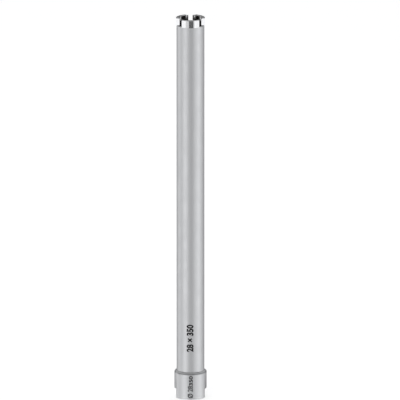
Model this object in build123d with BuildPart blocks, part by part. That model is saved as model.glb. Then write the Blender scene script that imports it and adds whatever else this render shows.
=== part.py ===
from build123d import *
import os
from math import sqrt

# Diamond core bit for drilling round holes in masonry, standing on its hub with the cutting crown up.
# Millimetres. The origin is the centre of the hub's end face, +Z runs along the barrel to the tips,
# and the middle of the first segment faces -Y.

# Cutting crown
crown_diameter = 28.0
segment_count = 3
segment_height = 7.3
segment_length = 16.9
segment_edge_radius = 0.15
first_segment_angle = -90.0
outside_relief = 0.6
inside_relief = 0.5

# Core barrel
barrel_wall = 2.0
barrel_lead_chamfer = 0.5
working_length = 350.0

# Hub
hub_height = 26.65
socket_depth = 8.65
socket_clearance = 0.05
socket_wall = 2.15
shoulder_radius = 2.2
hub_end_chamfer = 0.4
wrench_flat_depth = 1.75
wrench_flat_height = 9.1

# Pipe thread G 1/2 inside the hub, drilled at its minor diameter
thread_major_diameter = 20.955
thread_minor_diameter = 18.631
thread_exit_chamfer = 0.5

# The segments cut wider than the barrel on both sides, so that it runs free in the hole and on the core
crown_radius = crown_diameter / 2
barrel_radius = crown_radius - outside_relief
barrel_bore_radius = barrel_radius - barrel_wall
core_radius = barrel_bore_radius - inside_relief

# Heights above the hub's end face
socket_floor = hub_height - socket_depth
tip_height = hub_height + working_length
barrel_top = tip_height - segment_height

# The hub's socket fits over the barrel, and its shoulder is an arc from the side down to the barrel
socket_radius = barrel_radius + socket_clearance
hub_radius = socket_radius + socket_wall
shoulder_rise = sqrt(socket_wall * (2 * shoulder_radius - socket_wall))
shoulder_start = hub_height - shoulder_rise
thread_major_radius = thread_major_diameter / 2
thread_minor_radius = thread_minor_diameter / 2
thread_entry_depth = thread_major_radius - thread_minor_radius


def build_hub():
    """Turned hub, tapped right through for the spindle, the water and a rod that pushes the core out."""
    with BuildPart() as hub:
        with BuildSketch(Plane.XZ):
            with BuildLine():
                side = Line((hub_radius, hub_end_chamfer), (hub_radius, shoulder_start))
                shoulder = TangentArc(side @ 1, (socket_radius, hub_height), tangent=side % 1)
                Polyline(
                    shoulder @ 1,
                    (socket_radius, socket_floor),
                    (thread_minor_radius + thread_exit_chamfer, socket_floor),
                    (thread_minor_radius, socket_floor - thread_exit_chamfer),
                    (thread_minor_radius, thread_entry_depth),
                    (thread_major_radius, 0),
                    (hub_radius - hub_end_chamfer, 0),
                    side @ 0,
                )
            make_face()
        revolve(axis=Axis.Z)

        # Two flats for the spanner, milled up from the end face
        flat_middle = hub_radius - wrench_flat_depth / 2
        with BuildSketch(Plane.XY):
            with Locations((flat_middle, 0), (-flat_middle, 0)):
                Rectangle(wrench_flat_depth, 2 * hub_radius)
        extrude(amount=wrench_flat_height, mode=Mode.SUBTRACT)
    hub.part.label = "hub"
    export_step(hub.part, "parts/hub.step")


def build_core_barrel():
    """Plain tube from the socket's floor to the segments, with its lower edge broken to enter the socket."""
    with BuildPart() as core_barrel:
        with BuildSketch(Plane.XY.offset(socket_floor)):
            Circle(barrel_radius)
            Circle(barrel_bore_radius, mode=Mode.SUBTRACT)
        extrude(amount=barrel_top - socket_floor)
        lower_rims = core_barrel.edges().group_by(Axis.Z)[0]
        chamfer(lower_rims.sort_by(SortBy.RADIUS)[-1], barrel_lead_chamfer)
    core_barrel.part.label = "core_barrel"
    export_step(core_barrel.part, "parts/core_barrel.step")


def build_segment(label, middle_angle):
    """One curved block of the cutting ring, with parallel ends and worn edges, seated flat on the barrel."""
    with BuildPart() as segment:
        with BuildSketch(Plane.XY.offset(barrel_top)):
            Circle(crown_radius)
            Circle(core_radius, mode=Mode.SUBTRACT)
            with PolarLocations(crown_radius, 1, start_angle=middle_angle):
                Rectangle(2 * crown_radius, segment_length, mode=Mode.INTERSECT)
        extrude(amount=segment_height)
        fillet(segment.edges().filter_by(Axis.Z), segment_edge_radius)
        fillet(segment.edges().group_by(Axis.Z)[-1], segment_edge_radius)
    segment.part.label = label
    export_step(segment.part, f"parts/{label}.step")


os.makedirs("parts", exist_ok=True)
build_hub()
build_core_barrel()
for number in range(segment_count):
    build_segment(f"diamond_segment_{number + 1}", first_segment_angle + number * 360 / segment_count)
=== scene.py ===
from math import atan2, cos, hypot, pi, radians, sin, tan

import bmesh
import bpy
from bpy.props import FloatProperty, FloatVectorProperty, IntProperty, PointerProperty, StringProperty
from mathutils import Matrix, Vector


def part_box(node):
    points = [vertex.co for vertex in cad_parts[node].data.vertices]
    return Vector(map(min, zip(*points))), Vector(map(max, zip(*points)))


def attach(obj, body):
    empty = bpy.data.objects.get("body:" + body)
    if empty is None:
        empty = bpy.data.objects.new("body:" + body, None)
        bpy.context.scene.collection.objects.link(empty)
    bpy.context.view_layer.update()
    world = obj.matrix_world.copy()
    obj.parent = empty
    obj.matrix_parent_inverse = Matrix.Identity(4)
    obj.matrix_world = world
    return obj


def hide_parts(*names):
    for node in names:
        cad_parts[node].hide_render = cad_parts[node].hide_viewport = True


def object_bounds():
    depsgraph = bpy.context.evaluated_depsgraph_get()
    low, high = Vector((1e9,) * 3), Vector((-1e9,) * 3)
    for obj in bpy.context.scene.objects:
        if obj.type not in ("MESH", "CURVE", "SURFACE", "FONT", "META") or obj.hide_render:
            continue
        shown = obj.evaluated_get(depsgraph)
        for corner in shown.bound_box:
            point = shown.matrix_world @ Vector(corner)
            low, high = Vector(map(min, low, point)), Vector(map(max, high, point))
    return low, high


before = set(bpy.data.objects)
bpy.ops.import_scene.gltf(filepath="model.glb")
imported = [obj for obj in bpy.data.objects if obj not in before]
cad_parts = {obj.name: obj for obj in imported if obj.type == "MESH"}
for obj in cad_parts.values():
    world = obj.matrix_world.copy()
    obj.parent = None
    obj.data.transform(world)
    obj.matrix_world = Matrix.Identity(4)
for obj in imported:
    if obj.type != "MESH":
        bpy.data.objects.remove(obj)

bl_info = {
    "name": "Diamond core bit",
    "version": (1, 0, 0),
    "blender": (4, 5, 0),
    "location": "View3D > Sidebar > Core bit",
    "description": "Finishes a diamond core bit: thread, seams, size marks, steels and studio",
    "category": "Object",
}

MM = 0.001

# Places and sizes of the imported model, in metres
CAD_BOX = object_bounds()
SEGMENTS = sorted(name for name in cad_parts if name.startswith("diamond_segment"))
HUB_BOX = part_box("hub")
BARREL_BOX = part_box("core_barrel")
HUB_RADIUS = HUB_BOX[1][0]
HUB_TOP = HUB_BOX[1][2]
BARREL_RADIUS = BARREL_BOX[1][0]
BARREL_FOOT = BARREL_BOX[0][2]
BARREL_TOP = BARREL_BOX[1][2]
TIP_HEIGHT = CAD_BOX[1][2]
CROWN_RADIUS = -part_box("diamond_segment_1")[0][1]
CORE_RADIUS = min(hypot(*vertex.co.xy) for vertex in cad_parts["diamond_segment_1"].data.vertices)

# Blender's own lettering: height of a figure for a text size of one
FIGURE_HEIGHT = 0.69

# Roughness of the satin steels, at their smoothest and roughest spots, and colours of metal laid bare;
# the hub's rubbed colour is also a painted highlight on its shoulder's top
SATIN = (0.42, 0.48)
BARREL_SCRATCH = (0.90, 0.90, 0.91)
HUB_SCRATCH = (0.91, 0.91, 0.92)
HUB_RUBBED_AND_SHEEN = (0.88, 0.88, 0.89)

# The studio round the object, as cards of light. Each has the azimuth of its middle, its half width,
# the elevation of its middle, its half height, all in degrees, and its brightness. Azimuth 0 lies
# behind the camera and 90 to its right, and a card at the azimuth REAR lies across the half turn.
REAR = 180
ROOM_SOFTNESS = 5.0
ROOM_CARDS = (
    # Lit floor in front and behind
    (0, 105, -62, 35, 1.0),
    (REAR, 75, -62, 35, 0.4),
    # Soft boxes and flags that the upright walls mirror, from the middle to the left, then to the right
    (0, 18, -12, 14, 0.66),
    (-42, 20, -12, 14, 1.45),
    (-78, 16, -12, 14, 0.37),
    (-112, 18, -12, 14, 1.07),
    (40, 18, -12, 14, 0.93),
    (75, 15, -12, 14, 1.5),
    (112, 18, -12, 14, 0.52),
    # Low wall behind, which the segments' flat tops mirror
    (REAR, 75, 14, 4, 0.3),
    # Flags and wall above, which the hub's round shoulder mirrors
    (0, 25, 45, 22, 0.1),
    (-65, 40, 52, 20, 0.37),
    (65, 40, 52, 20, 0.35),
    (REAR, 75, 45, 22, 0.75),
    # Ceiling
    (0, 360, 82, 14, 0.75),
)

# Narrow strip that only the bright segments mirror: a dark middle with paler edges, and white all round
STRIP_HEIGHT = -13.5
STRIP_HALF_HEIGHT = 4.0
STRIP_SOFTNESS = 2.5
STRIP_CARDS = (
    (5, 22, STRIP_HEIGHT, 20, 0.12),
    (-25, 12, STRIP_HEIGHT, 20, 0.7),
    (31.5, 6.5, STRIP_HEIGHT, 20, 0.85),
    (REAR, 143, STRIP_HEIGHT, 20, 1.1),
)

# The room's light is a little cool
LIGHT_TINT = (0.985, 0.99, 1.0)


class CoreBitThread(bpy.types.PropertyGroup):
    pitch: FloatProperty(
        name="Pitch",
        description="Distance between neighbouring turns of the G 1/2 thread",
        default=1.814 * MM,
        unit="LENGTH",
    )
    major_radius: FloatProperty(
        name="Major radius",
        description="Radius at the bottom of the thread's groove",
        default=10.4775 * MM,
        unit="LENGTH",
    )
    minor_radius: FloatProperty(
        name="Minor radius",
        description="Radius of the drilled hole that the thread is cut into",
        default=9.3155 * MM,
        unit="LENGTH",
    )
    flank_angle: FloatProperty(
        name="Flank angle",
        description="Angle between a flank of the thread and the plane across the axis",
        default=radians(27.5),
        subtype="ANGLE",
    )
    steps: IntProperty(
        name="Steps a turn",
        description="Straight steps in each turn of the thread",
        default=96,
        min=12,
    )


class CoreBitSeams(bpy.types.PropertyGroup):
    weld_radius: FloatProperty(
        name="Weld radius",
        description="Radius of the laser weld's bead under each segment",
        default=0.22 * MM,
        unit="LENGTH",
    )
    weld_ripple: FloatProperty(
        name="Weld ripple",
        description="Distance between the scales of the weld's bead",
        default=0.6 * MM,
        unit="LENGTH",
    )
    weld_inset: FloatProperty(
        name="Weld inset",
        description="Distance that the bead ends before each end of its segment",
        default=0.5 * MM,
        unit="LENGTH",
    )
    braze_leg: FloatProperty(
        name="Braze leg",
        description="Height of the braze fillet where the barrel enters the hub",
        default=0.15 * MM,
        unit="LENGTH",
    )


class CoreBitMarks(bpy.types.PropertyGroup):
    barrel_words: StringProperty(
        name="Barrel mark",
        description="Diameter and length in millimetres, printed up the barrel",
        default="28 × 350",
    )
    barrel_height: FloatProperty(
        name="Barrel figure height",
        description="Height of the figures printed on the barrel",
        default=5.9 * MM,
        unit="LENGTH",
    )
    barrel_length: FloatProperty(
        name="Barrel mark length",
        description="Length of the barrel's mark from its first figure to its last",
        default=27.2 * MM,
        unit="LENGTH",
    )
    barrel_middle: FloatProperty(
        name="Barrel mark middle",
        description="Height of the middle of the barrel's mark above the hub's end face",
        default=61.0 * MM,
        unit="LENGTH",
    )
    barrel_weight: FloatProperty(
        name="Barrel stroke weight",
        description="Thickness added to each side of a stroke on the barrel",
        default=0.36 * MM,
        unit="LENGTH",
    )
    diameter_words: StringProperty(
        name="Hub diameter mark",
        description="Cutting diameter in millimetres, etched up the hub",
        default="Ø 28",
    )
    diameter_height: FloatProperty(
        name="Diameter figure height",
        description="Height of the figures of the diameter on the hub",
        default=4.6 * MM,
        unit="LENGTH",
    )
    diameter_length: FloatProperty(
        name="Diameter mark length",
        description="Length of the diameter's mark from its first figure to its last",
        default=12.1 * MM,
        unit="LENGTH",
    )
    diameter_middle: FloatProperty(
        name="Diameter mark middle",
        description="Height of the middle of the diameter's mark above the hub's end face",
        default=7.87 * MM,
        unit="LENGTH",
    )
    diameter_weight: FloatProperty(
        name="Diameter stroke weight",
        description="Thickness added to each side of a stroke of the diameter",
        default=0.15 * MM,
        unit="LENGTH",
    )
    length_words: StringProperty(
        name="Hub length mark",
        description="Working length in millimetres, etched up the hub above the diameter",
        default="350",
    )
    length_height: FloatProperty(
        name="Length figure height",
        description="Height of the figures of the length on the hub",
        default=3.4 * MM,
        unit="LENGTH",
    )
    length_length: FloatProperty(
        name="Length mark length",
        description="Length of the length's mark from its first figure to its last",
        default=9.75 * MM,
        unit="LENGTH",
    )
    length_middle: FloatProperty(
        name="Length mark middle",
        description="Height of the middle of the length's mark above the hub's end face",
        default=19.0 * MM,
        unit="LENGTH",
    )
    length_weight: FloatProperty(
        name="Length stroke weight",
        description="Thickness added to each side of a stroke of the length",
        default=0.2 * MM,
        unit="LENGTH",
    )
    ink_thickness: FloatProperty(
        name="Ink thickness",
        description="Height of the ink above the steel",
        default=0.02 * MM,
        unit="LENGTH",
    )
    strip_width: FloatProperty(
        name="Strip width",
        description="Width of the strips that a figure is cut into to follow the round surface",
        default=0.4 * MM,
        unit="LENGTH",
    )


class CoreBitFinish(bpy.types.PropertyGroup):
    barrel_colour: FloatVectorProperty(
        name="Barrel steel",
        description="Colour of the drawn steel barrel",
        default=(0.83, 0.835, 0.845),
        subtype="COLOR",
        min=0,
        max=1,
    )
    # Darker colour of the barrel's bore; the segments also mix it in halfway on their side to the core
    # as painted shade
    bore_and_core_shade_colour: FloatVectorProperty(
        name="Barrel bore",
        description="Colour of the untreated steel inside the barrel",
        default=(0.30, 0.29, 0.28),
        subtype="COLOR",
        min=0,
        max=1,
    )
    hub_colour: FloatVectorProperty(
        name="Hub steel",
        description="Colour of the turned steel hub",
        default=(0.84, 0.845, 0.855),
        subtype="COLOR",
        min=0,
        max=1,
    )
    edge_tint: FloatVectorProperty(
        name="Grazing tint",
        description="Share of the light that the satin steels send on at a grazing angle",
        default=(0.38, 0.38, 0.38),
        subtype="COLOR",
        min=0,
        max=1,
    )
    segment_colour: FloatVectorProperty(
        name="Segment metal",
        description="Colour of the bright sintered metal that holds the diamond",
        default=(0.90, 0.90, 0.91),
        subtype="COLOR",
        min=0,
        max=1,
    )
    diamond_colour: FloatVectorProperty(
        name="Diamond grit",
        description="Colour of the diamond grains at the segment's surface",
        default=(0.46, 0.45, 0.36),
        subtype="COLOR",
        min=0,
        max=1,
    )
    weld_colour: FloatVectorProperty(
        name="Weld",
        description="Colour of the welded seams",
        default=(0.52, 0.51, 0.50),
        subtype="COLOR",
        min=0,
        max=1,
    )
    braze_colour: FloatVectorProperty(
        name="Braze",
        description="Colour of the silver braze at the hub",
        default=(0.80, 0.79, 0.77),
        subtype="COLOR",
        min=0,
        max=1,
    )
    ink_colour: FloatVectorProperty(
        name="Barrel ink",
        description="Colour of the print on the barrel",
        default=(0.008, 0.008, 0.009),
        subtype="COLOR",
        min=0,
        max=1,
    )
    etch_colour: FloatVectorProperty(
        name="Hub etching",
        description="Colour of the etched mark on the hub",
        default=(0.05, 0.05, 0.052),
        subtype="COLOR",
        min=0,
        max=1,
    )


class CoreBitStudio(bpy.types.PropertyGroup):
    camera_elevation: FloatProperty(
        name="Camera elevation",
        description="Angle that the camera looks down at",
        default=radians(14.0),
        subtype="ANGLE",
    )
    lens: FloatProperty(
        name="Lens",
        description="Focal length, long enough that the barrel's sides stay parallel",
        default=1600.0,
        unit="CAMERA",
    )
    picture_width: FloatProperty(
        name="Picture width",
        description="Width of the picture at the object",
        default=386.2 * MM,
        unit="LENGTH",
    )
    picture_middle: FloatVectorProperty(
        name="Picture middle",
        description="Point that lies in the middle of the picture",
        default=(9.19 * MM, 0.0, 195.53 * MM),
        subtype="XYZ",
        unit="LENGTH",
    )
    floor_radius: FloatProperty(
        name="Floor radius",
        description="Radius of the pale floor",
        default=6.0,
        unit="LENGTH",
    )
    floor_grey: FloatProperty(
        name="Floor grey",
        description="Share of the light that the floor sends back",
        default=0.8,
        subtype="FACTOR",
        min=0,
        max=1,
    )
    floor_glow: FloatProperty(
        name="Floor glow",
        description="Light added to the floor for the camera alone, so that it shows white",
        default=0.64,
        min=0,
    )
    key_power: FloatProperty(
        name="Key light",
        description="Power of the large soft lamp above the camera",
        default=5.0,
        unit="POWER",
    )
    key_size: FloatProperty(
        name="Key size",
        description="Width of the large soft lamp",
        default=1.2,
        unit="LENGTH",
    )
    key_place: FloatVectorProperty(
        name="Key place",
        description="Place of the large soft lamp, which faces the origin",
        default=(-0.6, -1.3, 1.5),
        subtype="XYZ",
        unit="LENGTH",
    )


def node(tree, kind, inputs=None, **settings):
    """Adds a node, sets its options, and gives each input its value or a link."""
    made = tree.nodes.new(kind)
    for option, value in settings.items():
        setattr(made, option, value)
    for socket, value in (inputs or {}).items():
        if isinstance(value, bpy.types.NodeSocket):
            tree.links.new(value, made.inputs[socket])
        else:
            made.inputs[socket].default_value = value
    return made


def arithmetic(tree, operation, first, second=0.0):
    """One sum on values or links."""
    return node(tree, "ShaderNodeMath", {0: first, 1: second}, operation=operation).outputs[0]


def smooth_step(tree, value, start, end, low=0.0, high=1.0):
    """Runs smoothly from low to high while the value goes from start to end."""
    values = {"Value": value, "From Min": start, "From Max": end, "To Min": low, "To Max": high}
    return node(tree, "ShaderNodeMapRange", values, interpolation_type="SMOOTHSTEP").outputs[0]


def mix_colour(tree, share, first, second):
    """The first colour where the share is nought, the second where it is one."""
    mixed = node(tree, "ShaderNodeMix", {"Factor": share}, data_type="RGBA")
    for socket, value in ((mixed.inputs[6], first), (mixed.inputs[7], second)):
        if isinstance(value, bpy.types.NodeSocket):
            tree.links.new(value, socket)
        else:
            socket.default_value = (*value, 1.0)
    return mixed.outputs[2]


def new_group(name, inputs, outputs):
    """An empty shader node group with named sockets, its input node and its output node."""
    tree = bpy.data.node_groups.new(name, "ShaderNodeTree")
    for socket, (kind, value) in inputs.items():
        tree.interface.new_socket(socket, in_out="INPUT", socket_type=kind).default_value = value
    for socket, kind in outputs.items():
        tree.interface.new_socket(socket, in_out="OUTPUT", socket_type=kind)
    return tree, tree.nodes.new("NodeGroupInput").outputs, tree.nodes.new("NodeGroupOutput").inputs


def place_group(tree, group, **inputs):
    """Puts a group into a material, with its inputs given as words_like_this."""
    made = tree.nodes.new("ShaderNodeGroup")
    made.node_tree = bpy.data.node_groups[group]
    for socket, value in inputs.items():
        made.inputs[socket.replace("_", " ").capitalize()].default_value = value
    return made.outputs


def build_grain_group():
    """Fine lines left by drawing or turning: noise stretched along one direction of the object."""
    tree, given, out = new_group(
        "Steel grain",
        {"Lines": ("NodeSocketVector", (1, 1, 1)), "Depth": ("NodeSocketFloat", 0.1)},
        {"Grain": "NodeSocketFloat", "Normal": "NodeSocketVector"},
    )
    place = node(tree, "ShaderNodeTexCoord").outputs["Object"]
    stretched = node(tree, "ShaderNodeVectorMath", {0: place, 1: given["Lines"]}, operation="MULTIPLY")
    lines = {"Vector": stretched.outputs[0], "Scale": 1.0, "Detail": 4.0, "Roughness": 0.65}
    grain = node(tree, "ShaderNodeTexNoise", lines).outputs["Fac"]
    height = {"Strength": given["Depth"], "Distance": 0.01 * MM, "Height": grain}
    tree.links.new(grain, out["Grain"])
    tree.links.new(node(tree, "ShaderNodeBump", height).outputs[0], out["Normal"])


def axis_distance(tree, place):
    """Distance of a place from the object's axis."""
    level = {0: place, 1: (1, 1, 0)}
    flat = node(tree, "ShaderNodeVectorMath", level, operation="MULTIPLY").outputs[0]
    return node(tree, "ShaderNodeVectorMath", {0: flat}, operation="LENGTH").outputs["Value"]


def build_wear_group():
    """Rubbed metal along a round edge, broken up by noise; on the hub's shoulder the same band is a
    painted highlight.
    """
    tree, given, out = new_group(
        "Round edge wear",
        {
            "Radius": ("NodeSocketFloat", 0.01),
            "Height": ("NodeSocketFloat", 0.0),
            "Width": ("NodeSocketFloat", 0.001),
        },
        {"Wear": "NodeSocketFloat"},
    )
    place = node(tree, "ShaderNodeTexCoord").outputs["Object"]
    across = arithmetic(tree, "SUBTRACT", axis_distance(tree, place), given["Radius"])
    height = node(tree, "ShaderNodeSeparateXYZ", {0: place}).outputs[2]
    along = arithmetic(tree, "SUBTRACT", height, given["Height"])
    offset = node(tree, "ShaderNodeCombineXYZ", {0: across, 1: along}).outputs[0]
    distance = node(tree, "ShaderNodeVectorMath", {0: offset}, operation="LENGTH").outputs["Value"]
    share = arithmetic(tree, "DIVIDE", distance, given["Width"])
    noise = {"Vector": place, "Scale": 900.0, "Detail": 5.0, "Roughness": 0.7}
    ragged = node(tree, "ShaderNodeTexNoise", noise).outputs["Fac"]
    wear_and_sheen = smooth_step(tree, arithmetic(tree, "ADD", share, ragged), 1.15, 0.75)
    tree.links.new(wear_and_sheen, out["Wear"])


def build_facing_group():
    """Which way a surface faces: one straight away from the axis, minus one straight at it."""
    tree, _, out = new_group("Facing round axis", {}, {"Outwards": "NodeSocketFloat"})
    coordinates = node(tree, "ShaderNodeTexCoord").outputs
    level = {0: coordinates["Object"], 1: (1, 1, 0)}
    flat = node(tree, "ShaderNodeVectorMath", level, operation="MULTIPLY").outputs[0]
    radial = node(tree, "ShaderNodeVectorMath", {0: flat}, operation="NORMALIZE").outputs[0]
    both = {0: coordinates["Normal"], 1: radial}
    facing = node(tree, "ShaderNodeVectorMath", both, operation="DOT_PRODUCT").outputs["Value"]
    tree.links.new(facing, out["Outwards"])


def build_worn_top_group():
    """Height that domes a flat ring across its width, and rounds the sides off below it."""
    tree, given, out = new_group(
        "Worn top",
        {
            "Middle": ("NodeSocketFloat", 0.01),
            "Dome": ("NodeSocketFloat", 0.01),
            "Tip": ("NodeSocketFloat", 0.1),
            "Edge": ("NodeSocketFloat", 0.001),
        },
        {"Height": "NodeSocketFloat"},
    )
    coordinates = node(tree, "ShaderNodeTexCoord").outputs
    place = coordinates["Object"]
    level = node(tree, "ShaderNodeSeparateXYZ", {0: place}).outputs[2]
    edge_start = arithmetic(tree, "SUBTRACT", given["Tip"], given["Edge"])
    above = arithmetic(tree, "MAXIMUM", arithmetic(tree, "SUBTRACT", level, edge_start), 0.0)
    away = arithmetic(tree, "SUBTRACT", axis_distance(tree, place), given["Middle"])
    falls = []
    for distance, curve in ((above, given["Edge"]), (away, given["Dome"])):
        squared = arithmetic(tree, "MULTIPLY", distance, distance)
        falls.append(arithmetic(tree, "DIVIDE", squared, arithmetic(tree, "MULTIPLY", curve, -2.0)))
    upwards = node(tree, "ShaderNodeSeparateXYZ", {0: coordinates["Normal"]}).outputs[2]
    on_top = arithmetic(tree, "GREATER_THAN", upwards, 0.9)
    height = node(tree, "ShaderNodeMix", {"Factor": on_top}, data_type="FLOAT")
    tree.links.new(falls[0], height.inputs[2])
    tree.links.new(falls[1], height.inputs[3])
    tree.links.new(height.outputs[0], out["Height"])


def build_scratch_group():
    """Sparse handling scratches, in two slanting directions."""
    tree, given, out = new_group(
        "Handling scratches",
        {"Amount": ("NodeSocketFloat", 1.0)},
        {"Scratches": "NodeSocketFloat"},
    )
    place = node(tree, "ShaderNodeTexCoord").outputs["Object"]
    masks = []
    for lean, seed in ((28, 0.0), (-41, 7.3)):
        rotation = (radians(lean), radians(lean / 2), 0)
        turned = {"Vector": place, "Rotation": rotation, "Location": (seed, 0, 0)}
        leaning = node(tree, "ShaderNodeMapping", turned).outputs[0]
        squeezed = {0: leaning, 1: (2600.0, 2600.0, 90.0)}
        long_cells = node(tree, "ShaderNodeVectorMath", squeezed, operation="MULTIPLY").outputs[0]
        lines = node(tree, "ShaderNodeTexNoise", {"Vector": long_cells, "Scale": 1.0, "Detail": 1.0})
        masks.append(smooth_step(tree, lines.outputs["Fac"], 0.70, 0.76))
    both = arithmetic(tree, "MAXIMUM", masks[0], masks[1])
    tree.links.new(arithmetic(tree, "MULTIPLY", both, given["Amount"]), out["Scratches"])


def new_material(name):
    """An empty node material with a Principled BSDF joined to its output."""
    material = bpy.data.materials.new(name)
    material.use_nodes = True
    tree = material.node_tree
    tree.nodes.clear()
    shader = tree.nodes.new("ShaderNodeBsdfPrincipled")
    tree.links.new(shader.outputs[0], tree.nodes.new("ShaderNodeOutputMaterial").inputs["Surface"])
    return material, tree, shader.inputs


def join(tree, shader, colour, roughness, normal):
    """Links a material's three varying inputs."""
    for socket, value in (("Base Color", colour), ("Roughness", roughness), ("Normal", normal)):
        tree.links.new(value, shader[socket])


def darker(colour, share):
    """The colour with each part brought down to a share of itself."""
    return tuple(share * part for part in colour)


def looks_inwards(tree):
    """One where a surface looks at the axis, as the wall of a bore does, and nought elsewhere."""
    return smooth_step(tree, place_group(tree, "Facing round axis")["Outwards"], -0.6, -0.9)


def barrel_steel(finish):
    """Satin steel drawn along the tube, with a darker, rougher bore."""
    material, tree, shader = new_material("barrel_steel")
    shader["Metallic"].default_value = 1.0
    shader["Specular Tint"].default_value = (*finish.edge_tint, 1.0)
    grain = place_group(tree, "Steel grain", lines=(5200.0, 5200.0, 40.0), depth=0.25)
    wear_and_sheen = place_group(tree, "Round edge wear", radius=BARREL_RADIUS, height=BARREL_TOP, width=0.9 * MM)
    scratches = place_group(tree, "Handling scratches", amount=0.5)
    place = node(tree, "ShaderNodeTexCoord").outputs["Object"]
    inside = looks_inwards(tree)
    blotches = node(tree, "ShaderNodeTexNoise", {"Vector": place, "Scale": 110.0, "Detail": 4.0})
    valleys = darker(finish.barrel_colour, 0.93)
    outside = mix_colour(tree, grain["Grain"], valleys, tuple(finish.barrel_colour))
    scratched = mix_colour(tree, scratches[0], outside, BARREL_SCRATCH)
    colour = mix_colour(tree, inside, scratched, tuple(finish.bore_and_core_shade_colour))
    satin = smooth_step(tree, blotches.outputs["Fac"], 0.2, 0.8, *SATIN)
    rubbed = arithmetic(tree, "SUBTRACT", satin, arithmetic(tree, "MULTIPLY", wear_and_sheen[0], 0.08))
    roughness = arithmetic(tree, "ADD", rubbed, arithmetic(tree, "MULTIPLY", inside, 0.16))
    join(tree, shader, colour, roughness, grain["Normal"])
    return material


def hub_steel(finish):
    """Turned steel: fine rings round the axis, a bright rubbed edge at the foot, and a painted
    highlight round the shoulder's top.
    """
    material, tree, shader = new_material("hub_steel")
    shader["Metallic"].default_value = 1.0
    shader["Specular Tint"].default_value = (*finish.edge_tint, 1.0)
    grain = place_group(tree, "Steel grain", lines=(60.0, 60.0, 7000.0), depth=0.25)
    foot = place_group(tree, "Round edge wear", radius=HUB_RADIUS, height=0.0, width=1.0 * MM)
    # Painted highlight: the lighter rubbed colour laid round the shoulder's top, in the hollow corner
    # where the barrel enters
    shoulder_sheen = place_group(tree, "Round edge wear", radius=BARREL_RADIUS, height=HUB_TOP, width=0.7 * MM)
    scratches = place_group(tree, "Handling scratches", amount=0.7)
    wear_and_sheen = arithmetic(tree, "MAXIMUM", foot[0], shoulder_sheen[0])
    valleys = darker(finish.hub_colour, 0.92)
    turned = mix_colour(tree, grain["Grain"], valleys, tuple(finish.hub_colour))
    scratched = mix_colour(tree, scratches[0], turned, HUB_SCRATCH)
    # Rubbed colour: real wear at the foot, painted highlight at the shoulder's top
    colour = mix_colour(tree, wear_and_sheen, scratched, HUB_RUBBED_AND_SHEEN)
    satin = smooth_step(tree, grain["Grain"], 0.2, 0.8, *SATIN)
    roughness = arithmetic(tree, "SUBTRACT", satin, arithmetic(tree, "MULTIPLY", wear_and_sheen, 0.1))
    join(tree, shader, colour, roughness, grain["Normal"])
    return material


def segment_metal(finish):
    """Bright sintered metal with fine diamond grains, a worn top, and painted shade that darkens the
    side to the core.
    """
    material, tree, shader = new_material("segment_metal")
    shader["Metallic"].default_value = 1.0
    place = node(tree, "ShaderNodeTexCoord").outputs["Object"]
    grains = node(tree, "ShaderNodeTexVoronoi", {"Vector": place, "Scale": 1500.0, "Randomness": 1.0})
    size = smooth_step(tree, grains.outputs["Distance"], 0.34, 0.26)
    pick = node(tree, "ShaderNodeSeparateColor", {0: grains.outputs["Color"]}).outputs[0]
    diamond = arithmetic(tree, "MULTIPLY", size, arithmetic(tree, "GREATER_THAN", pick, 0.8))
    fine = {"Vector": place, "Scale": 3200.0, "Detail": 3.0}
    powder = node(tree, "ShaderNodeTexNoise", fine).outputs["Fac"]
    pits = darker(finish.segment_colour, 0.93)
    matrix = mix_colour(tree, powder, pits, tuple(finish.segment_colour))
    bore_face = looks_inwards(tree)
    # Painted shade: the segments' side to the core is darkened halfway towards the bore colour
    half_core_shade = arithmetic(tree, "MULTIPLY", bore_face, 0.5)
    shaded = mix_colour(tree, half_core_shade, matrix, tuple(finish.bore_and_core_shade_colour))
    grit = arithmetic(tree, "MULTIPLY", diamond, 0.6)
    colour = mix_colour(tree, grit, shaded, tuple(finish.diamond_colour))
    bright = smooth_step(tree, powder, 0.3, 0.8, 0.07, 0.12)
    dull = arithmetic(tree, "ADD", bright, arithmetic(tree, "MULTIPLY", bore_face, 0.08))
    roughness = arithmetic(tree, "ADD", dull, arithmetic(tree, "MULTIPLY", diamond, 0.12))
    relief = arithmetic(tree, "ADD", arithmetic(tree, "MULTIPLY", powder, 0.2), diamond)
    middle = (CROWN_RADIUS + CORE_RADIUS) / 2
    top = place_group(tree, "Worn top", middle=middle, dome=8.0 * MM, tip=TIP_HEIGHT, edge=0.4 * MM)
    worn = node(tree, "ShaderNodeBump", {"Strength": 1.0, "Distance": 1.0, "Height": top[0]}).outputs[0]
    height = {"Strength": 0.2, "Distance": 0.01 * MM, "Height": relief, "Normal": worn}
    join(tree, shader, colour, roughness, node(tree, "ShaderNodeBump", height).outputs[0])
    return material


def seam_metal(name, colour, scale):
    """Rough frozen metal of a weld or a braze."""
    material, tree, shader = new_material(name)
    shader["Metallic"].default_value = 1.0
    place = node(tree, "ShaderNodeTexCoord").outputs["Object"]
    uneven = {"Vector": place, "Scale": scale, "Detail": 5.0}
    lumps = node(tree, "ShaderNodeTexNoise", uneven).outputs["Fac"]
    tinted = mix_colour(tree, lumps, darker(colour, 0.8), tuple(colour))
    roughness = smooth_step(tree, lumps, 0.3, 0.7, 0.34, 0.48)
    bump = node(tree, "ShaderNodeBump", {"Strength": 0.3, "Distance": 0.02 * MM, "Height": lumps})
    join(tree, shader, tinted, roughness, bump.outputs[0])
    return material


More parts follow.
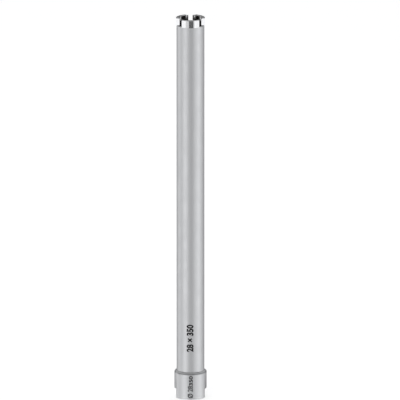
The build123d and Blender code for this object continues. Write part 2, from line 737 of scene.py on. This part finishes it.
def mark_ink(name, colour, roughness):
    """Thin matt ink or etching, a little uneven in tone."""
    material, tree, shader = new_material(name)
    place = node(tree, "ShaderNodeTexCoord").outputs["Object"]
    uneven = {"Vector": place, "Scale": 1400.0, "Detail": 4.0}
    patches = node(tree, "ShaderNodeTexNoise", uneven).outputs["Fac"]
    lighter = tuple(min(1.0, 1.5 * part + 0.01) for part in colour)
    tone = mix_colour(tree, smooth_step(tree, patches, 0.45, 0.75), tuple(colour), lighter)
    dull = smooth_step(tree, patches, 0.2, 0.8, roughness - 0.05, roughness + 0.08)
    bump = node(tree, "ShaderNodeBump", {"Strength": 0.15, "Distance": 0.01 * MM, "Height": patches})
    join(tree, shader, tone, dull, bump.outputs[0])
    return material


def add_piece(name, mesh, material):
    """Links a new piece of the object, which moves with the whole bit."""
    piece = bpy.data.objects.new(name, mesh)
    bpy.context.scene.collection.objects.link(piece)
    mesh.materials.clear()
    mesh.materials.append(material)
    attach(piece, "root")
    return piece


def dress(node_name, material):
    """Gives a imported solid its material."""
    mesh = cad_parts[node_name].data
    mesh.materials.clear()
    mesh.materials.append(material)


def mesh_from(work, name):
    """Mesh of the finished work, with its faces turned outwards."""
    mesh = bpy.data.meshes.new(name)
    bmesh.ops.recalc_face_normals(work, faces=work.faces)
    work.to_mesh(mesh)
    work.free()
    return mesh


def put_in_order(work):
    """Sorts corners, edges and faces by their places, so that the mesh is the same in every run."""

    def places(part):
        return sorted(tuple(corner.co) for corner in getattr(part, "verts", (part,)))

    for parts in (work.verts, work.edges, work.faces):
        ranks = {part: rank for rank, part in enumerate(sorted(parts, key=places))}
        parts.sort(key=ranks.get)


def bridge_rings(work, rings, closed):
    """Faces between neighbouring rings of points, the last joined to the first if closed."""
    pairs = list(zip(rings, rings[1:]))
    if closed:
        pairs.append((rings[-1], rings[0]))
    for ring, next_ring in pairs:
        for index in range(len(ring)):
            after = (index + 1) % len(ring)
            work.faces.new((ring[index], ring[after], next_ring[after], next_ring[index]))
    if not closed:
        work.faces.new(rings[0])
        work.faces.new(rings[-1])


def round_point(radius, angle, height):
    """A place at an angle round the axis, counted from the front (-Y) towards +X."""
    return radius * sin(angle), -radius * cos(angle), height


def points_of(node_name):
    """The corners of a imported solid's mesh."""
    return [vertex.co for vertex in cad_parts[node_name].data.vertices]


def angle_of(place):
    """Angle of a place round the axis, as round_point counts it, between minus pi and pi."""
    return atan2(place[0], -place[1])


def thread_cutter_mesh(thread):
    """Right-hand ridge with the form of the thread's groove, longer than the hole at both ends."""
    pitch_radius = (thread.major_radius + thread.minor_radius) / 2
    hole_overlap = 0.1 * MM
    root_rounding = 0.17 * MM
    root_share = 0.6
    run_out = 1.5 * thread.pitch

    def half_width(radius):
        return thread.pitch / 4 + (pitch_radius - radius) * tan(thread.flank_angle)

    inner = thread.minor_radius - hole_overlap
    rounded = thread.major_radius - root_rounding
    narrow = half_width(thread.major_radius) * root_share
    side = ((inner, half_width(inner)), (rounded, half_width(rounded)), (thread.major_radius, narrow))
    section = [(radius, -half) for radius, half in side]
    section += [(radius, half) for radius, half in reversed(side)]
    turns = (BARREL_FOOT + 2 * run_out) / thread.pitch
    work = bmesh.new()
    rings = []
    for step in range(round(turns * thread.steps) + 1):
        angle = 2 * pi * step / thread.steps
        climb = thread.pitch * step / thread.steps - run_out
        ring = [round_point(radius, angle, climb + rise) for radius, rise in section]
        rings.append([work.verts.new(place) for place in ring])
    bridge_rings(work, rings, closed=False)
    return mesh_from(work, "thread_cutter")


def welded_copy(node_name):
    """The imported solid's mesh with its split corners joined again, so that it is watertight."""
    corner_gap = 0.0005 * MM
    work = bmesh.new()
    work.from_mesh(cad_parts[node_name].data)
    bmesh.ops.remove_doubles(work, verts=work.verts, dist=corner_gap)
    return mesh_from(work, node_name + "_copy")


def build_hub(thread, finish):
    """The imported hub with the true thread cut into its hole."""
    crease = radians(24)
    hub = bpy.data.objects.new("hub_blank", welded_copy("hub"))
    cutter = bpy.data.objects.new("thread_cutter", thread_cutter_mesh(thread))
    for worker in (hub, cutter):
        bpy.context.scene.collection.objects.link(worker)
    cut = hub.modifiers.new("thread", "BOOLEAN")
    cut.operation = "DIFFERENCE"
    cut.solver = "EXACT"
    cut.object = cutter
    bpy.context.view_layer.update()
    mesh = bpy.data.meshes.new_from_object(hub.evaluated_get(bpy.context.evaluated_depsgraph_get()))
    for worker in (hub, cutter):
        bpy.data.objects.remove(worker)
    mesh.shade_smooth()
    mesh.set_sharp_from_angle(angle=crease)
    piece = add_piece("threaded_hub", mesh, hub_steel(finish))
    shading = piece.modifiers.new("even_shading", "WEIGHTED_NORMAL")
    shading.keep_sharp = True
    shading.weight = 100
    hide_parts("hub")


def build_welds(seams, finish):
    """One rippled bead under each segment, in the corner that it makes with the barrel."""
    metal = seam_metal("weld_metal", finish.weld_colour, 2400.0)
    corners = 8
    ripple_steps = 6
    ripple_depth = 0.12
    thin_end = 0.35
    middle_height = BARREL_TOP - 0.4 * seams.weld_radius
    step_length = seams.weld_ripple / ripple_steps
    inset = seams.weld_inset / BARREL_RADIUS
    for name in SEGMENTS:
        outer_points = [place for place in points_of(name) if hypot(place[0], place[1]) > BARREL_RADIUS]
        start = min(angle_of(place) for place in outer_points) + inset
        end = max(angle_of(place) for place in outer_points) - inset
        steps = round((end - start) * BARREL_RADIUS / step_length)
        work = bmesh.new()
        rings = []
        for step in range(steps + 1):
            angle = start + (end - start) * step / steps
            ripple = 1.0 + ripple_depth * sin(2 * pi * step / ripple_steps)
            nearer_end = min(step, steps - step)
            thickness = seams.weld_radius * ripple * min(1.0, thin_end + nearer_end / ripple_steps)
            ring = []
            for corner in range(corners):
                turn = 2 * pi * corner / corners
                radius = BARREL_RADIUS + thickness * cos(turn)
                height = middle_height + thickness * sin(turn)
                ring.append(work.verts.new(round_point(radius, angle, height)))
            rings.append(ring)
        bridge_rings(work, rings, closed=False)
        mesh = mesh_from(work, "weld_bead_" + name[-1])
        mesh.shade_smooth()
        add_piece("weld_bead_" + name[-1], mesh, metal)


def build_braze(seams, finish):
    """Hollow fillet of braze round the barrel where it enters the hub."""
    metal = seam_metal("braze_metal", finish.braze_colour, 1200.0)
    sides = 160
    leg = seams.braze_leg
    back = BARREL_RADIUS - 0.05 * MM
    foot = BARREL_RADIUS + 0.03 * MM

    # Points of the hollow face, out from the barrel and up from the hub's top, as shares of the leg
    hollow = ((0.08, 0.75), (0.26, 0.3), (0.6, 0.05), (1.0, -0.2))
    face = [(BARREL_RADIUS + out * leg, HUB_TOP + up * leg) for out, up in hollow]
    profile = ((back, HUB_TOP + leg), *face, (foot, HUB_TOP - leg), (back, HUB_TOP - leg))
    work = bmesh.new()
    rings = []
    for step in range(sides):
        angle = 2 * pi * step / sides
        rings.append([work.verts.new(round_point(radius, angle, height)) for radius, height in profile])
    bridge_rings(work, rings, closed=True)
    mesh = mesh_from(work, "braze_fillet")
    mesh.shade_smooth()
    add_piece("braze_fillet", mesh, metal)


def flat_text_mesh(words, figure_height, weight):
    """Flat mesh of a line of figures, read along X, each stroke wider by the weight on both sides."""
    curve = bpy.data.curves.new("figures", "FONT")
    curve.body = words
    curve.size = figure_height / FIGURE_HEIGHT
    curve.offset = weight
    curve.align_x = "CENTER"
    curve.resolution_u = 6
    writer = bpy.data.objects.new("figures", curve)
    bpy.context.scene.collection.objects.link(writer)
    bpy.context.view_layer.update()
    mesh = bpy.data.meshes.new_from_object(writer.evaluated_get(bpy.context.evaluated_depsgraph_get()))
    bpy.data.objects.remove(writer)
    return mesh


def build_mark(name, line, radius, foot, marks, material):
    """Figures read upwards, cut into strips and laid round the front of a cylinder as a thin film.

    The line is stretched to its length, and the figures' foot lies that far to the right of the middle.
    """
    words, figure_height, length, middle, weight = line
    corner_gap = 0.002 * MM
    work = bmesh.new()
    work.from_mesh(flat_text_mesh(words, figure_height, weight))
    bmesh.ops.remove_doubles(work, verts=work.verts, dist=corner_gap)
    lowest = min(vertex.co.y for vertex in work.verts)
    highest = max(vertex.co.y for vertex in work.verts)
    left = min(vertex.co.x for vertex in work.verts)
    right = max(vertex.co.x for vertex in work.verts)
    strips = int((highest - lowest) / marks.strip_width) + 1
    for strip in range(1, strips):
        level = (0, lowest + (highest - lowest) * strip / strips, 0)
        everything = work.verts[:] + work.edges[:] + work.faces[:]
        bmesh.ops.bisect_plane(work, geom=everything, plane_co=level, plane_no=(0, 1, 0), dist=1e-7)
    film = bmesh.ops.extrude_face_region(work, geom=work.faces[:], use_keep_orig=True)
    raised = {item for item in film["geom"] if isinstance(item, bmesh.types.BMVert)}
    for vertex in work.verts:
        away = radius + (marks.ink_thickness if vertex in raised else -marks.ink_thickness)
        round_front = (foot + lowest - vertex.co.y) / radius
        height = middle + (vertex.co.x - (left + right) / 2) * length / (right - left)
        vertex.co = round_point(away, round_front, height)
    put_in_order(work)
    add_piece(name, mesh_from(work, name), material)


def studio_world(scene):
    """White for the camera. Metal sees the lit floor, soft boxes, dark flags and a dimmer room."""
    world = bpy.data.worlds.new("studio")
    scene.world = world
    world.use_nodes = True
    tree = world.node_tree
    tree.nodes.clear()
    direction = node(tree, "ShaderNodeTexCoord").outputs["Generated"]
    parts = node(tree, "ShaderNodeSeparateXYZ", {0: direction}).outputs
    azimuth = arithmetic(tree, "ARCTAN2", parts[0], arithmetic(tree, "MULTIPLY", parts[1], -1.0))
    elevation = arithmetic(tree, "ARCSINE", parts[2])
    rearward = arithmetic(tree, "SUBTRACT", pi, arithmetic(tree, "ABSOLUTE", azimuth))

    def within(measure, middle, half_width, softness):
        """One where the measured angle is within half_width of middle, fading over softness."""
        away = arithmetic(tree, "ABSOLUTE", arithmetic(tree, "SUBTRACT", measure, radians(middle)))
        return smooth_step(tree, away, radians(half_width + softness), radians(half_width - softness))

    def sum_of_cards(cards, softness):
        """Brightness of all the cards together."""
        level = 0.0
        for middle, half_width, height, half_height, brightness in cards:
            measure, centre = (rearward, 0) if middle == REAR else (azimuth, middle)
            across = within(measure, centre, half_width, softness)
            upwards = within(elevation, height, half_height, softness)
            card = arithmetic(tree, "MULTIPLY", across, upwards)
            level = arithmetic(tree, "ADD", level, arithmetic(tree, "MULTIPLY", card, brightness))
        return level

    strip = within(elevation, STRIP_HEIGHT, STRIP_HALF_HEIGHT, STRIP_SOFTNESS)
    light = node(tree, "ShaderNodeMix", {"Factor": strip}, data_type="FLOAT")
    tree.links.new(sum_of_cards(ROOM_CARDS, ROOM_SOFTNESS), light.inputs[2])
    tree.links.new(sum_of_cards(STRIP_CARDS, STRIP_SOFTNESS), light.inputs[3])
    tinted = {0: LIGHT_TINT, "Scale": light.outputs[0]}
    tint = node(tree, "ShaderNodeVectorMath", tinted, operation="SCALE")
    seen = node(tree, "ShaderNodeBackground", {"Color": (1, 1, 1, 1), "Strength": 1.0})
    lit = node(tree, "ShaderNodeBackground", {"Color": tint.outputs[0], "Strength": 1.0})
    camera_ray = node(tree, "ShaderNodeLightPath").outputs["Is Camera Ray"]
    both = node(tree, "ShaderNodeMixShader", {0: camera_ray, 1: lit.outputs[0], 2: seen.outputs[0]})
    tree.links.new(both.outputs[0], tree.nodes.new("ShaderNodeOutputWorld").inputs["Surface"])


def floor_paint(studio):
    """Pale floor that shows white to the camera and keeps the object's shadow."""
    material = bpy.data.materials.new("floor_paint")
    material.use_nodes = True
    tree = material.node_tree
    tree.nodes.clear()
    place = node(tree, "ShaderNodeTexCoord").outputs["Object"]
    speckle = node(tree, "ShaderNodeTexNoise", {"Vector": place, "Scale": 30.0}).outputs["Fac"]
    grey = studio.floor_grey
    tone = mix_colour(tree, speckle, (grey * 0.99,) * 3, (grey,) * 3)
    paint = node(tree, "ShaderNodeBsdfDiffuse", {"Color": tone})
    rays = node(tree, "ShaderNodeLightPath").outputs
    seen = arithmetic(tree, "MAXIMUM", rays["Is Camera Ray"], rays["Is Glossy Ray"])
    strength = arithmetic(tree, "MULTIPLY", seen, studio.floor_glow)
    glow = node(tree, "ShaderNodeEmission", {"Strength": strength})
    both = node(tree, "ShaderNodeAddShader", {0: paint.outputs[0], 1: glow.outputs[0]})
    tree.links.new(both.outputs[0], tree.nodes.new("ShaderNodeOutputMaterial").inputs["Surface"])
    return material


def build_floor(studio):
    """Round floor under the object. Metal mirrors the studio's cards in its place."""
    work = bmesh.new()
    bmesh.ops.create_circle(work, cap_ends=True, radius=studio.floor_radius, segments=96)
    mesh = mesh_from(work, "floor")
    mesh.materials.append(floor_paint(studio))
    floor = bpy.data.objects.new("floor", mesh)
    floor.visible_glossy = False
    bpy.context.scene.collection.objects.link(floor)


def build_lamp(studio):
    """Large soft lamp above the camera's left, which metal doesn't mirror."""
    lamp = bpy.data.lights.new("key", "AREA")
    lamp.energy = studio.key_power
    lamp.size = studio.key_size
    key = bpy.data.objects.new("key", lamp)
    key.location = studio.key_place
    key.rotation_euler = key.location.to_track_quat("Z", "Y").to_euler()
    key.visible_glossy = False
    bpy.context.scene.collection.objects.link(key)


def build_camera(studio):
    """Long lens in front of the object and a little above it, with the bit left of the middle."""
    camera = bpy.data.cameras.new("camera")
    camera.lens = studio.lens
    distance = studio.lens * studio.picture_width / camera.sensor_width
    tilt = studio.camera_elevation
    viewer = bpy.data.objects.new("camera", camera)
    across, along, height = studio.picture_middle
    viewer.location = (across, along - distance * cos(tilt), height + distance * sin(tilt))
    viewer.rotation_euler = (pi / 2 - tilt, 0, 0)
    bpy.context.scene.collection.objects.link(viewer)
    bpy.context.scene.camera = viewer


class COREBIT_OT_hub(bpy.types.Operator):
    """Cut the thread into the hub and give it turned steel"""

    bl_idname = "corebit.hub"
    bl_label = "Threaded hub"

    def execute(self, context):
        build_hub(context.scene.corebit_thread, context.scene.corebit_finish)
        return {"FINISHED"}


class COREBIT_OT_barrel(bpy.types.Operator):
    """Give the core barrel its drawn steel"""

    bl_idname = "corebit.barrel"
    bl_label = "Core barrel"

    def execute(self, context):
        dress("core_barrel", barrel_steel(context.scene.corebit_finish))
        return {"FINISHED"}


class COREBIT_OT_segments(bpy.types.Operator):
    """Give the diamond segments their sintered metal"""

    bl_idname = "corebit.segments"
    bl_label = "Diamond segments"

    def execute(self, context):
        metal = segment_metal(context.scene.corebit_finish)
        for name in SEGMENTS:
            dress(name, metal)
        return {"FINISHED"}


class COREBIT_OT_seams(bpy.types.Operator):
    """Add the weld beads under the segments and the braze fillet at the hub"""

    bl_idname = "corebit.seams"
    bl_label = "Welds and braze"

    def execute(self, context):
        build_welds(context.scene.corebit_seams, context.scene.corebit_finish)
        build_braze(context.scene.corebit_seams, context.scene.corebit_finish)
        return {"FINISHED"}


class COREBIT_OT_marks(bpy.types.Operator):
    """Print the plain size on the barrel and etch the diameter and the length on the hub"""

    bl_idname = "corebit.marks"
    bl_label = "Size marks"

    def execute(self, context):
        marks = context.scene.corebit_marks
        finish = context.scene.corebit_finish
        ink = mark_ink("barrel_ink", finish.ink_colour, 0.5)
        etching = mark_ink("hub_etching", finish.etch_colour, 0.6)
        barrel_foot = marks.barrel_height / 2
        hub_foot = marks.diameter_height / 2
        lines = (
            ("barrel_size_mark", "barrel", BARREL_RADIUS, barrel_foot, ink),
            ("hub_diameter_mark", "diameter", HUB_RADIUS, hub_foot, etching),
            ("hub_length_mark", "length", HUB_RADIUS, hub_foot, etching),
        )
        for name, kind, radius, foot, material in lines:
            parts = ("words", "height", "length", "middle", "weight")
            line = [getattr(marks, f"{kind}_{part}") for part in parts]
            build_mark(name, line, radius, foot, marks, material)
        return {"FINISHED"}


class COREBIT_OT_stage(bpy.types.Operator):
    """Set up the studio: world, floor, lamp and camera"""

    bl_idname = "corebit.stage"
    bl_label = "Studio"

    def execute(self, context):
        studio = context.scene.corebit_studio
        studio_world(context.scene)
        build_floor(studio)
        build_lamp(studio)
        build_camera(studio)
        context.scene.view_settings.view_transform = "Standard"
        return {"FINISHED"}


class COREBIT_PT_panel(bpy.types.Panel):
    """Sizes, finishes and building steps of the core bit"""

    bl_idname = "COREBIT_PT_panel"
    bl_label = "Diamond core bit"
    bl_space_type = "VIEW_3D"
    bl_region_type = "UI"
    bl_category = "Core bit"

    def draw(self, context):
        layout = self.layout
        for heading, settings in SETTINGS.items():
            box = layout.box()
            box.label(text=settings[1])
            group = getattr(context.scene, heading)
            for name in group.bl_rna.properties.keys():
                if name not in ("name", "rna_type"):
                    box.prop(group, name)
        for operator in OPERATORS:
            layout.operator(operator.bl_idname)


SETTINGS = {
    "corebit_thread": (CoreBitThread, "Thread"),
    "corebit_seams": (CoreBitSeams, "Welds and braze"),
    "corebit_marks": (CoreBitMarks, "Size marks"),
    "corebit_finish": (CoreBitFinish, "Finishes"),
    "corebit_studio": (CoreBitStudio, "Studio"),
}
OPERATORS = (
    COREBIT_OT_hub,
    COREBIT_OT_barrel,
    COREBIT_OT_segments,
    COREBIT_OT_seams,
    COREBIT_OT_marks,
    COREBIT_OT_stage,
)


def register():
    """Registers the settings, with a pointer to each in the scene, the operators and the panel."""
    for heading, (group, label) in SETTINGS.items():
        bpy.utils.register_class(group)
        setattr(bpy.types.Scene, heading, PointerProperty(type=group, name=label))
    for kind in (*OPERATORS, COREBIT_PT_panel):
        bpy.utils.register_class(kind)


def unregister():
    """Takes back what register added, in the opposite order."""
    for kind in (COREBIT_PT_panel, *reversed(OPERATORS)):
        bpy.utils.unregister_class(kind)
    for heading, (group, label) in SETTINGS.items():
        delattr(bpy.types.Scene, heading)
        bpy.utils.unregister_class(group)


def main():
    """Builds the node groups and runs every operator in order."""
    register()
    build_grain_group()
    build_wear_group()
    build_facing_group()
    build_worn_top_group()
    build_scratch_group()
    bpy.ops.corebit.hub()
    bpy.ops.corebit.barrel()
    bpy.ops.corebit.segments()
    bpy.ops.corebit.seams()
    bpy.ops.corebit.marks()
    bpy.ops.corebit.stage()


if __name__ == "__main__":
    main()
